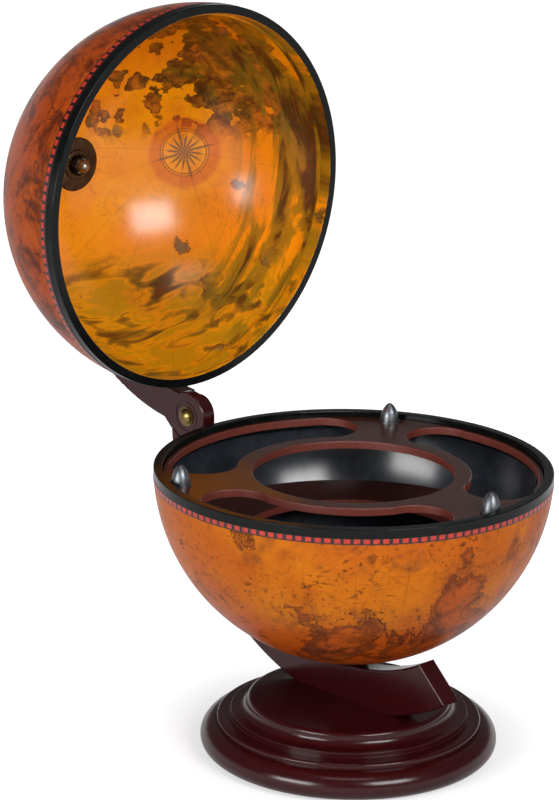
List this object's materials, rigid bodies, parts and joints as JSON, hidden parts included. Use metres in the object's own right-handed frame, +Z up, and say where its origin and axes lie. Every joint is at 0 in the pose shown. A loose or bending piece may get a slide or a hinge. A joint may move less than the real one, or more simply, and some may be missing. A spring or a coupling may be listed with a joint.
{
  "type": "tabletop globe bar",
  "caption": "Tabletop globe on a turned wooden base that splits at its equator: the upper half swings back on a hinged arm over a rack for a bottle and glasses.",
  "frame": {"origin": "centre of the felt pad's underside, on the table, under the globe's centre", "axes": "+Z up; the hinge stands at +Y and turns about X; the lid is stored open, leaning back over +Y"},
  "size_m": [0.3297, 0.5585, 0.6065],
  "materials": {
    "mahogany": "gloss lacquer over red-brown stain",
    "veneered_board": "satin stain on fine board, sanded cut edges",
    "globe_print": "varnished antique-style print on a moulded shell",
    "black_lacquer": "gloss black lacquer",
    "bronze": "antiqued bronze, worn bright on edges",
    "brass": "polished, slightly tarnished",
    "zinc_steel": "dull zinc plate",
    "black_nickel": "black nickel, glossy",
    "felt": "dark felt"
  },
  "bodies": {
    "stand": {"felt_pad": "felt", "base": "mahogany", "arm_screws": "zinc_steel", "lower_arm": "mahogany", "bowl_shell": "globe_print", "bowl_rim": "black_lacquer", "bowl_spacer": "black_lacquer", "bowl_bolt": "brass", "bowl_bolt_washer": "brass", "bowl_rosette": "bronze", "bowl_star_washer": "zinc_steel", "bowl_cap_nut": "bronze", "bottle_floor": "veneered_board", "glass_shelf": "veneered_board", "glass_rack": "veneered_board", "rack_knob_1": "black_nickel", "rack_knob_2": "black_nickel", "rack_knob_3": "black_nickel", "rack_cleat_1": "mahogany", "rack_cleat_2": "mahogany", "rack_cleat_3": "mahogany", "hinge_bolt": "brass", "hinge_head_washer": "brass", "hinge_slip_washer": "zinc_steel", "hinge_nut_washer": "zinc_steel", "hinge_nut": "zinc_steel"},
    "lid": {"upper_arm": "mahogany", "lid_shell": "globe_print", "lid_rim": "black_lacquer", "lid_spacer": "black_lacquer", "lid_bolt": "brass", "lid_bolt_washer": "brass", "lid_rosette": "bronze", "lid_star_washer": "zinc_steel", "lid_cap_nut": "bronze"}
  },
  "joints": [
    {"name": "lid_hinge", "type": "hinge", "parent": "stand", "child": "lid", "pos_m": [0, 0.192, 0.2496], "axis": [1, 0, 0], "range_deg": [0, 88.5]}
  ]
}
